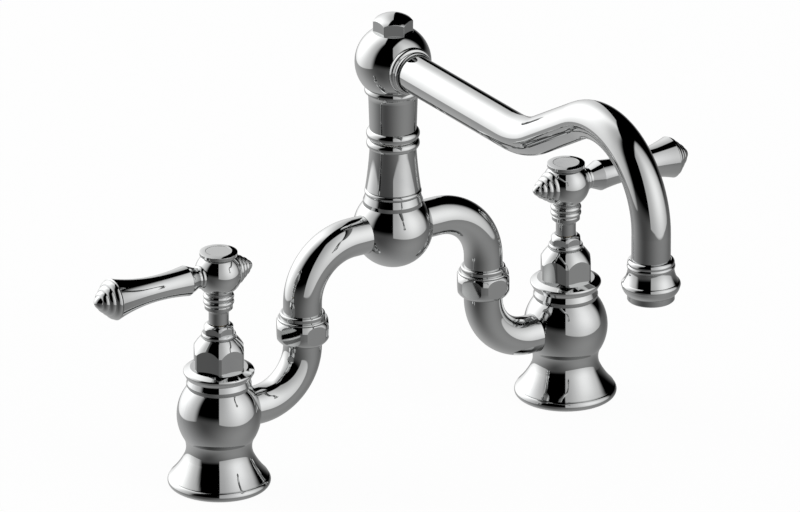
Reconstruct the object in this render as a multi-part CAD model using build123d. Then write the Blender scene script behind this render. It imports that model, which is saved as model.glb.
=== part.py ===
"""Bridge kitchen faucet: two lever valves, a bridge of four elbows and a high swivelling spout.

Millimetres. The origin lies on the deck midway between the two valves, +X runs to the right-hand
valve, -Y is the front, where the spout reaches, and +Z is up. What belongs to one valve is drawn
in that valve's own frame, with +X pointing outward from the bridge, and is then placed.
"""

from build123d import *
from math import cos, radians, sin, sqrt
import os

# ================================================================ driving dimensions
SPREAD = 203.2  # between the two valve axes
SPOUT_REACH = 226.3  # from the column's axis to the outlet's axis
DECK_T = 30.0  # thickness of the deck that is clamped

# tube of the bridge and the spout
TUBE_R = 9.525
TUBE_WALL = 1.2

# clearances of the fits
THREAD_GAP = 0.05  # radial, between a screw thread and its socket
SOCKET_GAP = 0.05  # radial, round a tube's end in its socket
RUN_GAP = 0.05  # round the turning stems, the discs and the swivel
FACE_GAP = 0.1  # axial, between a turning face and a still one
SEAL_GAP = 0.025  # round an O-ring in its groove
LOOSE_GAP = 0.3  # round a shank in its washer and flange, and under the handle
EASE = 0.4  # broken edges

# base flange: a beaded rim, a flare and a waisted neck
FLANGE_FOOT_R = 24.0
FLANGE_WALL = 3.0
RIM_TOP_R = 23.8
RIM_H = 4.6
RIM_BOW = 1.4
FLARE_R = 24.1  # the flare starts here, over the rim
WAIST_R = 17.15
WAIST_Z = 15.1
FLARE_BOW = 0.5
NECK_BOW = 1.0
FLANGE_TOP_R = 17.2
FLANGE_H = 24.5
BELL_CEILING_Z = 14.5
GASKET_T = 2.0
GASKET_BORE_R = 12.5

# threaded shank, and its washer and nut under the deck
SHANK_THREAD_R = 10.477  # half-inch pipe thread, over its crests
SHANK_R = 10.0  # plain stretch in the deck
SHANK_BORE_R = 6.0
SHANK_PLAIN_TOP = 1.0  # the plain stretch ends this far above the deck
SHANK_GRIP = 8.5  # thread in the valve body
SUPPLY_THREAD = 19.0  # free thread for the supply nut
RELIEF_W = 1.0
RELIEF_D = 0.9
WASHER_R = 17.5
WASHER_T = 2.0
NUT_FLATS = 30.0
NUT_H = 9.0
NUT_CHAMFER = 1.2

# valve body: a bulb under a sloping band
BULB_FOOT_R = 17.2
BULB_R = 20.75
BULB_MID = 12.3  # the widest place above the flange
BULB_TOP_R = 15.4
BULB_H = 27.0
BAND_R = 16.0
BAND_H = 5.5
BAND_RING_H = 1.2  # upright foot of the band
BAND_TOP_R = 14.7
CREASE = 0.5
PORT_RISE = 11.9  # axis of the side port above the flange
PORT_DEPTH = 15.0  # from the valve's axis to the elbow's end
SEAT_RISE = 11.5  # the cartridge's seat above the flange
CHAMBER_R = 13.2
CHAMBER_RISE = 2.5  # floor of the water chamber above the seat
CHAMBER_H = 9.5

# cartridge
CART_R = 10.0
CART_CAVITY_R = 8.2
CART_FLANGE_R = 11.6
CART_NECK_R = 9.0
CART_NECK_H = 12.5
CART_THREAD_R = 5.5
WINDOW_W = 7.0
BARREL_RING_DROP = 4.0  # the O-ring lies this far under the body's top
O_RING_D = 1.0
SEAL_T = 1.8
SEAL_BORE_R = 6.2
DISC_R = 8.1
FIXED_DISC_T = 3.2
MOVING_DISC_R = 7.9
MOVING_DISC_T = 2.6
DISC_PORT_R = 2.0
DISC_PORT_AT = 4.2
TONGUE_L = 10.0
TONGUE_W = 3.0
TONGUE_H = 1.3

# stem
STEM_R = 4.0
STEM_IN_HUB = 7.8  # its top lies this far under the lever's axis
DRIVER_R = 7.8
DRIVER_T = 2.0
STEM_RING_RISE = 4.0  # the O-ring lies this far above the bonnet's foot

# bonnet and the ring under it
SAUCER_R = 17.5
SAUCER_H = 5.0
SAUCER_RIM_Z = 2.7  # the rim's widest place above the saucer's foot
SAUCER_RIM_T = 1.8
SAUCER_FOOT_R = 16.2
SAUCER_TOP_R = 14.2
BONNET_FLATS = 24.0
BONNET_CORNER_RISE = 1.45  # the turned corners stand this far over the flats
BONNET_H = 16.0
BONNET_SIDE = 9.0  # height of the corners under the dome
BONNET_BOW = 0.4
BONNET_TOP_R = 8.7
BONNET_BORE_R = 9.6
BONNET_ROOF = 3.4

# gland nut and packing
GLAND_FLATS = 14.1
GLAND_CORNER_RISE = 0.75
GLAND_H = 7.1
GLAND_COLLAR_R = 8.5
GLAND_COLLAR_H = 2.4
GLAND_COLLAR_BOW = 0.5
GLAND_SIDE = 4.7  # height of the corners under the dome, from the nut's foot
GLAND_BOW = 0.3
GLAND_TOP_R = 5.6
GLAND_LIP = 1.6
PACKING_T = 1.3
PACKING_R = 5.2

# handle hub: a skirt, a stack of rings and a ball with a flat top
SKIRT_R = 4.95
SKIRT_H = 6.0
RING_FLARE = 1.8
RING_GROOVE_R = 6.6
RING_FOOT_H = 2.1
RING_FOOT_R = 6.9
RING_H = 2.9
RING_BOW = 1.0
RING_NECK = 0.9
HANDLE_R = 11.8
HUB_TOP = 9.2  # flat top above the lever's axis
HUB_WEB = 1.8
SCREW_R = 2.0
SCREW_L = 10.0
SCREW_HEAD_R = 4.0
SCREW_HEAD_H = 3.0
SCREW_KEY = 3.0

# index cap and button
CAP_R = 9.3
CAP_T = 2.2
CAP_PLUG_R = 6.8
CAP_PLUG_H = 3.0
CAP_FALL = 0.45  # the rim falls this far from the button's well to the edge
CAP_BOW = 0.08
BUTTON_SINK = 0.1
BUTTON_R = 6.3
BUTTON_T = 0.8

# lever and rear finial, measured from the hub's axis
STUD_START = 5.2
LEVER_STUD_R = 3.5
LEVER_FOOT_R = 5.7
LEVER_FOOT_T = 1.9
LEVER_NECK_R = 5.1
LEVER_NECK_T = 1.0
LEVER_SHOULDER = 19.0
LEVER_SHOULDER_R = 7.6
LEVER_WAIST = 35.0
LEVER_WAIST_R = 6.3
LEVER_END = 61.2
LEVER_END_R = 10.4
LEVER_TIP = 72.0
LEVER_TIP_R = 3.6
FINIAL_STUD_R = 2.5
FINIAL_R = 7.9
FINIAL_TIP = 19.6
FINIAL_TIP_R = 3.0
BEADS = 3
BEAD_STEP = 0.25
BEAD_BOW = 0.45
TIP_SHARE = 1.2  # length of the pointed tip in beads
TIP_R = 0.4

# bridge elbows and unions
LOWER_RUN = 7.7  # straight run from the valve to the lower bend
LOWER_BEND_R = 26.0
UNION_RUN = 21.9  # straight height between the two bends
UPPER_BEND_R = 27.9
UNION_FLATS = 25.2
UNION_CORNER_RISE = 1.05
UNION_H = 13.0
UNION_LIFT = 1.7  # the nut's foot above the lower bend's end
UNION_FOOT_R = 10.8
UNION_SIDE_Z = 5.0  # the corners are full from here
UNION_SIDE_TOP = 4.6  # to this far under the nut's top
UNION_BOW = 0.35
UNION_RIM_R = 12.3
UNION_RIM_H = 1.2
UNION_THREAD_R = 10.2
UNION_THREAD_H = 6.5
UNION_GASKET_T = 1.5
UNION_FLANGE_T = 2.5
UNION_COLLAR_R = 11.05
UNION_COLLAR_H = 2.7

# bridge hub
HUB_R = 19.7
HUB_CAVITY_R = 12.6
HUB_BAND_R = 14.75
HUB_BAND_TOP = 18.4  # above the elbows' axis
HUB_NECK_R = 13.6
HUB_NECK_H = 3.4  # sloping part of the band
HUB_SOCKET = 12.0  # the upper elbows end this far from the column's axis

# fixed column and swivel
COLUMN_H = 29.0  # from the hub's band to the swivel's seam
COLUMN_BEAD_R = 13.4
COLUMN_BEAD_H = 2.6
COLUMN_BEAD_BOW = 0.8
COLUMN_FOOT_R = 13.6
COLUMN_BOW = -0.25
COLUMN_TOP_R = 11.45
SEAM_BEAD_H = 4.7
SEAM_BEAD_BOW = 1.65
SPIGOT_R = 7.3
SPIGOT_BORE_R = 4.8
SPIGOT_THREAD_R = 9.5
SPIGOT_THREAD_H = 9.5
SPIGOT_TOP_R = 6.0
SWIVEL_WASHER_T = 0.5
SWIVEL_WASHER_R = 11.2
SWIVEL_RING_D = 1.1
SWIVEL_RINGS = (9.0, 16.0)  # heights above the seam
RETAINER_T = 1.0
RETAINER_R = 8.8
RETAINER_NUT_FLATS = 14.0
RETAINER_NUT_H = 4.5

# turning column and spout head
SLEEVE_SEAM_R = 12.1
SLEEVE_FOOT_R = 11.6  # over the upper bead
SLEEVE_BEAD_BOW = 1.3
SLEEVE_R = 12.1  # under the collar
SLEEVE_H = 27.4
SLEEVE_BEARING = 23.8  # length of the swivel's bore
SLEEVE_FLARE = 3.4
SLEEVE_COLLAR_R = 14.0
SLEEVE_COLLAR_H = 2.9
SLEEVE_COLLAR_TOP_R = 12.9
SLEEVE_COLLAR_BOW = 0.45
SLEEVE_WELL_R = 9.2
SLEEVE_NECK_R = 10.8
SLEEVE_NECK_H = 4.4
HEAD_R = 18.8
HEAD_SEAT_R = 14.1
HEAD_CAVITY_R = 13.2
TOP_FLATS = 17.0
TOP_SIDE = 5.3
TOP_DOME_R = 15.0
TOP_TURN_DEG = 30  # a corner points forward
TOP_PLUG_R = 8.1
TOP_PLUG_H = 4.5
TOP_PLUG_WALL = 2.5
TOP_ROOF = 1.0

# spout tube and its collar
SPOUT_START = 12.8
SPOUT_RISE_R = 49.8
SPOUT_RISE_DEG = 29.7
SPOUT_SLOPE = 38.4  # straight length between the rise and the hump
SPOUT_HUMP_R = 42.4
SPOUT_DROP = 17.6  # straight length into the outlet
SPOUT_COLLAR_R = 11.9
SPOUT_COLLAR_T = 2.9
SPOUT_COLLAR_BOW = 0.35
SPOUT_LIP_R = 10.9
SPOUT_LIP_T = 2.3
SPOUT_LIP_BOW = 0.5
SPOUT_LIP_DISH = 0.9  # the lip's end is hollowed this deep round the tube

# outlet
BELL_H = 18.2
BELL_FOOT_R = 11.8
BELL_WIDE_R = 14.2
BELL_WIDE_Z = 4.1  # above the bell's foot
BELL_FOOT_BOW = 0.4
BELL_RIM_R = 13.3
BELL_RIM_H = 2.6
BELL_RIM_BOW = 0.55
BELL_NECK_R = 11.25
BELL_NECK_BOW = -0.5
BELL_RING_H = 2.1
BELL_RING_BOW = 0.45
BELL_NECK_DROP = 2.7  # the groove lies this far under the bell's top
BELL_TOP_R = 9.9
BELL_TOP_BOW = 0.7
BELL_GRIP = 5.0  # tube in the bell
OUTLET_R = 11.5
OUTLET_LIP = 3.2
OUTLET_THREAD_R = 10.8
OUTLET_THREAD_H = 7.0
OUTLET_WALL = 1.2
OUTLET_LEDGE = 0.8
AERATOR_T = 6.0
AERATOR_HOLE_R = 0.75
AERATOR_PITCH = 2.6
AERATOR_RINGS = 3
AERATOR_WASHER_T = 1.5

# ================================================================ places worked out from them
TUBE_BORE_R = TUBE_R - TUBE_WALL
SOCKET_R = TUBE_R + SOCKET_GAP
GASKET_R = FLANGE_FOOT_R - FLANGE_WALL - THREAD_GAP

# heights of one valve
PORT_Z = FLANGE_H + PORT_RISE
SEAT_Z = FLANGE_H + SEAT_RISE
BODY_TOP_Z = FLANGE_H + BULB_H + BAND_H
SEAL_TOP_Z = SEAT_Z + SEAL_T
FIXED_TOP_Z = SEAL_TOP_Z + FIXED_DISC_T
MOVING_Z = FIXED_TOP_Z + RUN_GAP
DRIVER_Z = MOVING_Z + MOVING_DISC_T
CEILING_Z = DRIVER_Z + DRIVER_T + RUN_GAP
BONNET_Z = BODY_TOP_Z + SAUCER_H
CART_SHOULDER_Z = BONNET_Z + CART_NECK_H
GLAND_Z = BONNET_Z + BONNET_H
GLAND_TOP_Z = GLAND_Z + GLAND_H
PACKING_TOP_Z = GLAND_TOP_Z - GLAND_LIP
CART_TOP_Z = PACKING_TOP_Z - PACKING_T - FACE_GAP
SKIRT_Z = GLAND_TOP_Z + LOOSE_GAP
RINGS_Z = SKIRT_Z + SKIRT_H + RING_FLARE
BALL_FOOT_Z = RINGS_Z + RING_FOOT_H + 2 * RING_H + RING_NECK
HANDLE_Z = BALL_FOOT_Z + sqrt(HANDLE_R**2 - RING_GROOVE_R**2)
HUB_TOP_Z = HANDLE_Z + HUB_TOP
STEM_TOP_Z = HANDLE_Z - STEM_IN_HUB
SCREW_SEAT_Z = STEM_TOP_Z + HUB_WEB
CAP_TOP_Z = HUB_TOP_Z + CAP_T

# heights under the deck
WASHER_Z = -DECK_T - WASHER_T
NUT_Z = WASHER_Z - NUT_H
SHANK_END_Z = NUT_Z - RELIEF_W - SUPPLY_THREAD

# bridge
UNION_X = SPREAD / 2 - PORT_DEPTH - LOWER_RUN - LOWER_BEND_R
LOWER_TOP_Z = PORT_Z + LOWER_BEND_R
UNION_Z = LOWER_TOP_Z + UNION_LIFT
UNION_TOP_Z = UNION_Z + UNION_H
UNION_SEAL_Z = UNION_Z + UNION_THREAD_H
UPPER_FOOT_Z = UNION_SEAL_Z + UNION_GASKET_T
HUB_Z = LOWER_TOP_Z + UNION_RUN + UPPER_BEND_R
BAND_TOP_Z = HUB_Z + HUB_BAND_TOP

# column, head and spout
SEAM_Z = BAND_TOP_Z + COLUMN_H
SLEEVE_Z = SEAM_Z + SWIVEL_WASHER_T + FACE_GAP
SLEEVE_TOP_Z = SLEEVE_Z + SLEEVE_H
WELL_Z = SLEEVE_Z + SLEEVE_BEARING
RETAINER_Z = WELL_Z + FACE_GAP
RETAINER_NUT_Z = RETAINER_Z + RETAINER_T
HEAD_Z = SLEEVE_TOP_Z + sqrt(HEAD_R**2 - HEAD_SEAT_R**2)
CAP_SEAT_Z = HEAD_Z + sqrt(HEAD_R**2 - (TOP_FLATS / sqrt(3) + FACE_GAP) ** 2)
COLLAR_SEAT = sqrt(HEAD_R**2 - (SPOUT_COLLAR_R + FACE_GAP) ** 2)
RISE_SIN = sin(radians(SPOUT_RISE_DEG))
RISE_COS = cos(radians(SPOUT_RISE_DEG))
SPOUT_ARM = SPOUT_REACH - SPOUT_HUMP_R * (1 + RISE_SIN) - SPOUT_SLOPE * RISE_COS - SPOUT_RISE_R * RISE_SIN
HUMP_END_Z = HEAD_Z + SPOUT_RISE_R * (1 - RISE_COS) + SPOUT_SLOPE * RISE_SIN - SPOUT_HUMP_R * RISE_COS
BELL_Z = HUMP_END_Z - SPOUT_DROP + BELL_GRIP - BELL_H
OUTLET_Z = BELL_Z - OUTLET_LIP


# ================================================================ drawing helpers
def turned(start, *steps):
    """A solid turned about Z, from its outline of (radius, height) points: out at the foot, up and
    in at the top. A step (radius, height, bow) is an arc that bows outward by bow, and a step of
    two points is an arc through the first to the second."""
    edges, here = [], start
    for step in [*steps, start]:
        if isinstance(step[0], tuple):
            through, end = step
        elif len(step) == 3:
            end, bow = step[:2], step[2]
            run, rise = end[0] - here[0], end[1] - here[1]
            length = sqrt(run**2 + rise**2)
            middle = ((here[0] + end[0]) / 2, (here[1] + end[1]) / 2)
            through = (middle[0] + bow * rise / length, middle[1] - bow * run / length)
        else:
            through, end = None, step
        points = [(p[0], 0, p[1]) for p in (here, through, end) if p]
        edges.append(ThreePointArc(*points) if through else Line(*points))
        here = end
    return revolve(make_face(edges), Axis.Z)


def rod(radius, z0, z1):
    """A round bar along Z from z0 to z1."""
    return Pos(0, 0, z0) * Cylinder(radius, z1 - z0, align=(Align.CENTER, Align.CENTER, Align.MIN))


def ring(outer, inner, z0, z1):
    """A flat ring along Z from z0 to z1."""
    return rod(outer, z0, z1) - rod(inner, z0, z1)


def hexagon(flats, z0, z1, turn=0):
    """A six-sided bar along Z with corners on the X axis, or turned by some degrees."""
    shape = RegularPolygon(flats / 2, 6, major_radius=False, rotation=turn)
    return Pos(0, 0, z0) * extrude(shape, z1 - z0)


def corner(flats):
    """Radius of a hexagon's corners."""
    return flats / sqrt(3)


def chord(radius, offset):
    """Half the chord of a circle at a distance from its centre."""
    return sqrt(radius**2 - offset**2)


def o_ring(wall_r, section, z):
    """A round seal about Z that runs close to an outer wall."""
    return Pos(0, 0, z) * Torus(wall_r - SEAL_GAP - section / 2, section / 2)


def o_ring_groove(wall_r, section, z):
    """The groove for that seal, cut from the inner piece."""
    return ring(wall_r, wall_r - section - 2 * SEAL_GAP, z - section, z + section)


def pipe(*edges):
    """The bridge's and spout's tube along a path of lines and arcs."""
    path = Wire(list(edges))
    section = Plane(origin=path @ 0, z_dir=path % 0) * (Circle(TUBE_R) - Circle(TUBE_BORE_R))
    return sweep(section, path=path)


def along_x(solid, sign=1):
    """Lays a solid that was turned about Z along X, on the lever's axis of a valve."""
    return Pos(0, 0, HANDLE_Z) * Rot(0, 90 * sign, 0) * solid


def forward(solid):
    """Lays a solid that was turned about Z along -Y, on the spout's axis."""
    return Pos(0, 0, HEAD_Z) * Rot(90, 0, 0) * solid


def at_valve(side, solid):
    """Places a solid of the valve's frame at the left (-1) or right (1) valve."""
    return Pos(side * SPREAD / 2, 0, 0) * Rot(0, 0, 0 if side > 0 else 180) * solid


def mirrored(side, solid):
    """The right-hand solid for side 1, its mirror image for side -1."""
    return solid if side > 0 else mirror(solid, about=Plane.YZ)


def at_outlet(solid):
    """Moves a solid turned about Z to the outlet's axis."""
    return Pos(0, -SPOUT_REACH, 0) * solid


# ================================================================ at and under the deck
def base_flange():
    """Flared bell that covers the deck's hole and carries the valve body on its neck."""
    outside = turned(
        (0, 0),
        (FLANGE_FOOT_R, 0),
        (RIM_TOP_R, RIM_H, RIM_BOW),
        (FLARE_R, RIM_H + EASE),
        (WAIST_R, WAIST_Z, -FLARE_BOW),
        (FLANGE_TOP_R, FLANGE_H, -NECK_BOW),
        (0, FLANGE_H),
    )
    inside = turned(
        (0, 0),
        (FLANGE_FOOT_R - FLANGE_WALL, 0),
        (FLANGE_FOOT_R - FLANGE_WALL, RIM_H),
        (WAIST_R - FLANGE_WALL, BELL_CEILING_Z),
        (0, BELL_CEILING_Z),
    )
    return outside - inside - rod(SHANK_THREAD_R + LOOSE_GAP, 0, FLANGE_H)


def deck_gasket():
    """Rubber ring between the flange's inside and the deck."""
    return ring(GASKET_R, GASKET_BORE_R, 0, GASKET_T)


def shank():
    """Hollow threaded shank: screwed into the valve body, it passes the deck and takes the supply."""
    top = FLANGE_H + SHANK_GRIP
    outside = (
        rod(SHANK_THREAD_R, SHANK_PLAIN_TOP, top)
        + rod(SHANK_R, -DECK_T, SHANK_PLAIN_TOP)
        + rod(SHANK_THREAD_R, NUT_Z, -DECK_T)
        + rod(SHANK_THREAD_R - RELIEF_D, NUT_Z - RELIEF_W, NUT_Z)
        + rod(SHANK_THREAD_R, SHANK_END_Z, NUT_Z - RELIEF_W)
    )
    return outside - rod(SHANK_BORE_R, SHANK_END_Z, top)


def mounting_washer():
    """Steel washer against the deck's underside."""
    return ring(WASHER_R, SHANK_THREAD_R + LOOSE_GAP, WASHER_Z, -DECK_T)


def mounting_nut():
    """Hexagon nut that clamps the faucet to the deck."""
    corner_r = corner(NUT_FLATS)
    envelope = turned(
        (0, NUT_Z),
        (corner_r - NUT_CHAMFER, NUT_Z),
        (corner_r, NUT_Z + NUT_CHAMFER),
        (corner_r, WASHER_Z - NUT_CHAMFER),
        (corner_r - NUT_CHAMFER, WASHER_Z),
        (0, WASHER_Z),
    )
    nut = hexagon(NUT_FLATS, NUT_Z, WASHER_Z) & envelope
    return nut - rod(SHANK_THREAD_R + THREAD_GAP, NUT_Z, WASHER_Z)


# ================================================================ valve body and cartridge
def valve_body():
    """Bulb with a side port, a threaded foot, a water chamber and a bore for the cartridge."""
    bulb_top = FLANGE_H + BULB_H
    outside = turned(
        (0, FLANGE_H),
        (BULB_FOOT_R, FLANGE_H),
        ((BULB_R, FLANGE_H + BULB_MID), (BULB_TOP_R, bulb_top)),
        (BULB_TOP_R, bulb_top + CREASE),
        (BAND_R, bulb_top + 2 * CREASE),
        (BAND_R, bulb_top + 2 * CREASE + BAND_RING_H),
        (BAND_R - EASE / 2, bulb_top + 2 * CREASE + BAND_RING_H),
        (BAND_TOP_R, BODY_TOP_Z),
        (0, BODY_TOP_Z),
    )
    chamber_z = SEAT_Z + CHAMBER_RISE
    inside = (
        rod(SHANK_THREAD_R + THREAD_GAP, FLANGE_H, FLANGE_H + SHANK_GRIP)
        + rod(SHANK_BORE_R, FLANGE_H, SEAT_Z)
        + rod(CART_R + THREAD_GAP, SEAT_Z, BODY_TOP_Z)
        + rod(CHAMBER_R, chamber_z, chamber_z + CHAMBER_H)
    )
    socket = rod(SOCKET_R, PORT_DEPTH, 2 * BULB_R)
    port = rod(TUBE_BORE_R, CART_R + FLANGE_WALL, PORT_DEPTH)
    return outside - inside - Pos(0, 0, PORT_Z) * Rot(0, -90, 0) * (socket + port)


def cartridge_body():
    """Brass headwork: a barrel with two windows, a flange on the body and a threaded neck."""
    outside = (
        rod(CART_R, SEAT_Z, BODY_TOP_Z)
        + rod(CART_FLANGE_R, BODY_TOP_Z, BONNET_Z)
        + rod(CART_NECK_R, BONNET_Z, CART_SHOULDER_Z)
        + rod(CART_THREAD_R, CART_SHOULDER_Z, CART_TOP_Z)
    )
    outside -= o_ring_groove(CART_R + THREAD_GAP, O_RING_D, BODY_TOP_Z - BARREL_RING_DROP)
    window_h = CEILING_Z - MOVING_Z
    windows = Pos(0, 0, MOVING_Z + window_h / 2) * Box(3 * CART_R, WINDOW_W, window_h)
    inside = rod(CART_CAVITY_R, SEAT_Z, CEILING_Z) + rod(STEM_R + RUN_GAP, SEAT_Z, CART_TOP_Z)
    return outside - windows - inside


def barrel_o_ring():
    """Seal between the cartridge's barrel and the valve body."""
    return o_ring(CART_R + THREAD_GAP, O_RING_D, BODY_TOP_Z - BARREL_RING_DROP)


def seat_seal():
    """Rubber ring between the valve body's seat and the fixed disc."""
    return ring(DISC_R, SEAL_BORE_R, SEAT_Z, SEAL_TOP_Z)


def fixed_disc():
    """Ceramic disc with two ports in line with the bridge."""
    disc = rod(DISC_R, SEAL_TOP_Z, FIXED_TOP_Z)
    for side in (-1, 1):
        disc -= Pos(side * DISC_PORT_AT, 0, 0) * rod(DISC_PORT_R, SEAL_TOP_Z, FIXED_TOP_Z)
    return disc


def moving_disc():
    """Ceramic disc that shuts both ports at rest and frees them after a quarter turn."""
    disc = rod(MOVING_DISC_R, MOVING_Z, DRIVER_Z)
    for side in (-1, 1):
        disc -= Pos(0, side * DISC_PORT_AT, 0) * rod(DISC_PORT_R, MOVING_Z, DRIVER_Z)
        notch = Box(2 * DISC_PORT_R, MOVING_DISC_R, MOVING_DISC_T)
        middle_y = side * (DISC_PORT_AT + MOVING_DISC_R / 2)
        disc -= Pos(0, middle_y, MOVING_Z + MOVING_DISC_T / 2) * notch
    slot_h = TONGUE_H + RUN_GAP
    slot = Box(TONGUE_L + 2 * RUN_GAP, TONGUE_W + 2 * RUN_GAP, slot_h)
    return disc - Pos(0, 0, DRIVER_Z - slot_h / 2) * slot


def stem():
    """Spindle: a driver whose tongue turns the moving disc, and a shaft up to the handle."""
    shaft = rod(DRIVER_R, DRIVER_Z, DRIVER_Z + DRIVER_T) + rod(STEM_R, DRIVER_Z, STEM_TOP_Z)
    tongue = Pos(0, 0, DRIVER_Z - TONGUE_H / 2) * Box(TONGUE_L, TONGUE_W, TONGUE_H)
    groove = o_ring_groove(STEM_R + RUN_GAP, O_RING_D, BONNET_Z + STEM_RING_RISE)
    tapped_end = SCREW_SEAT_Z - SCREW_L - 2 * EASE
    return shaft + tongue - groove - rod(SCREW_R + THREAD_GAP, tapped_end, STEM_TOP_Z)


def stem_o_ring():
    """Seal in the stem's groove, running in the cartridge's neck."""
    return o_ring(STEM_R + RUN_GAP, O_RING_D, BONNET_Z + STEM_RING_RISE)


# ================================================================ bonnet and gland
def bonnet_collar():
    """Saucer-shaped ring clamped between the valve body and the bonnet."""
    rim_z = BODY_TOP_Z + SAUCER_RIM_Z
    bore_r = CART_FLANGE_R + THREAD_GAP
    return turned(
        (bore_r, BODY_TOP_Z),
        (SAUCER_FOOT_R, BODY_TOP_Z),
        (SAUCER_R - EASE, rim_z - SAUCER_RIM_T / 2),
        (SAUCER_R - EASE, rim_z + SAUCER_RIM_T / 2, EASE),
        (SAUCER_TOP_R, BONNET_Z),
        (bore_r, BONNET_Z),
    )


def bonnet():
    """Hexagonal cover nut with turned corners and a turned dome, over the cartridge's neck."""
    corner_r = BONNET_FLATS / 2 + BONNET_CORNER_RISE
    envelope = turned(
        (0, BONNET_Z),
        (corner_r - EASE, BONNET_Z),
        (corner_r, BONNET_Z + EASE),
        (corner_r, BONNET_Z + BONNET_SIDE),
        (BONNET_TOP_R, GLAND_Z, BONNET_BOW),
        (0, GLAND_Z),
    )
    shell = hexagon(BONNET_FLATS, BONNET_Z, GLAND_Z) & envelope
    cavity = rod(BONNET_BORE_R, BONNET_Z, GLAND_Z - BONNET_ROOF)
    return shell - cavity - rod(CART_THREAD_R + THREAD_GAP, BONNET_Z, GLAND_Z)


def gland_nut():
    """Small domed nut on the cartridge's neck; it holds the bonnet and the packing."""
    corner_r = GLAND_FLATS / 2 + GLAND_CORNER_RISE
    collar_top = GLAND_Z + GLAND_COLLAR_H
    collar_r = GLAND_COLLAR_R - GLAND_COLLAR_BOW
    collar = turned(
        (0, GLAND_Z),
        (collar_r, GLAND_Z),
        (collar_r, collar_top, GLAND_COLLAR_BOW),
        (0, collar_top),
    )
    envelope = turned(
        (0, collar_top),
        (corner_r, collar_top),
        (corner_r, GLAND_Z + GLAND_SIDE),
        (GLAND_TOP_R, GLAND_TOP_Z, GLAND_BOW),
        (0, GLAND_TOP_Z),
    )
    nut = collar + (hexagon(GLAND_FLATS, collar_top, GLAND_TOP_Z) & envelope)
    thread = rod(CART_THREAD_R + THREAD_GAP, GLAND_Z, PACKING_TOP_Z)
    return nut - thread - rod(STEM_R + 2 * FACE_GAP, GLAND_Z, GLAND_TOP_Z)


def gland_packing():
    """Packing ring pressed round the stem by the gland nut."""
    return ring(PACKING_R, STEM_R + RUN_GAP, PACKING_TOP_Z - PACKING_T, PACKING_TOP_Z)


# ================================================================ handle
def handle_hub():
    """Ball on a stack of turned rings; it grips the stem and takes the lever and the finial."""
    ring_1 = RINGS_Z + RING_FOOT_H
    ring_2 = ring_1 + RING_H
    outside = turned(
        (0, SKIRT_Z),
        (SKIRT_R, SKIRT_Z),
        (SKIRT_R, SKIRT_Z + SKIRT_H),
        (RING_FOOT_R, RINGS_Z),
        (RING_FOOT_R, ring_1 - EASE),
        (RING_GROOVE_R, ring_1),
        (RING_GROOVE_R, ring_2, RING_BOW),
        (RING_GROOVE_R, ring_2 + RING_H, RING_BOW),
        (RING_GROOVE_R, BALL_FOOT_Z),
        ((HANDLE_R, HANDLE_Z), (chord(HANDLE_R, HUB_TOP), HUB_TOP_Z)),
        (0, HUB_TOP_Z),
    )
    inside = (
        rod(STEM_R + SEAL_GAP, SKIRT_Z, STEM_TOP_Z)
        + rod(SCREW_R + FACE_GAP, STEM_TOP_Z, SCREW_SEAT_Z)
        + rod(SCREW_HEAD_R + EASE, SCREW_SEAT_Z, HUB_TOP_Z)
        + rod(CAP_PLUG_R + THREAD_GAP, HUB_TOP_Z - CAP_PLUG_H - FACE_GAP, HUB_TOP_Z)
    )
    lever_seat = stud_seat(LEVER_STUD_R, LEVER_FOOT_R)
    finial_seat = stud_seat(FINIAL_STUD_R, FINIAL_R)
    return outside - inside - along_x(lever_seat) - along_x(finial_seat, -1)


def stud_seat(stud_r, foot_r):
    """Threaded hole and flat on the hub's ball for a turned piece with a stud."""
    seat = rod(foot_r + THREAD_GAP, chord(HANDLE_R, foot_r), 2 * HANDLE_R)
    return seat + rod(stud_r + THREAD_GAP, STUD_START, 2 * HANDLE_R)


def beehive(start, tip, base_r, tip_r):
    """Outline steps of shrinking beads and a pointed tip, from start to tip."""
    length = (tip - start) / (BEADS + TIP_SHARE)
    shrink = (base_r - tip_r) / BEADS
    steps = []
    for bead in range(BEADS):
        end, radius = start + (bead + 1) * length, base_r - (bead + 1) * shrink
        steps.append((radius + BEAD_STEP, end, BEAD_BOW))
        steps.append((radius, end))
    return [*steps, (TIP_R, tip - TIP_R, BEAD_BOW), (0, tip)]


def grip_arc(end, end_r):
    """The outline's point halfway along the grip's arc between its waist and one of its ends."""
    rise, run = end_r - LEVER_WAIST_R, end - LEVER_WAIST
    radius = (rise**2 + run**2) / (2 * rise)
    return (LEVER_WAIST_R + radius - chord(radius, run / 2), LEVER_WAIST + run / 2)


def lever():
    """Turned lever: a stud, a foot ring and neck, a shoulder, a waisted grip and a beehive end."""
    foot = chord(HANDLE_R, LEVER_FOOT_R)
    neck = foot + LEVER_FOOT_T
    body = turned(
        (0, STUD_START),
        (LEVER_STUD_R, STUD_START),
        (LEVER_STUD_R, foot),
        (LEVER_FOOT_R, foot),
        (LEVER_NECK_R, neck, EASE),
        (LEVER_NECK_R, neck + LEVER_NECK_T),
        (LEVER_SHOULDER_R, LEVER_SHOULDER),
        (grip_arc(LEVER_SHOULDER, LEVER_SHOULDER_R), (LEVER_WAIST_R, LEVER_WAIST)),
        (grip_arc(LEVER_END, LEVER_END_R), (LEVER_END_R, LEVER_END)),
        (LEVER_END_R - EASE, LEVER_END + EASE),
        *beehive(LEVER_END + EASE, LEVER_TIP, LEVER_END_R - EASE, LEVER_TIP_R),
    )
    return along_x(body)


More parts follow.
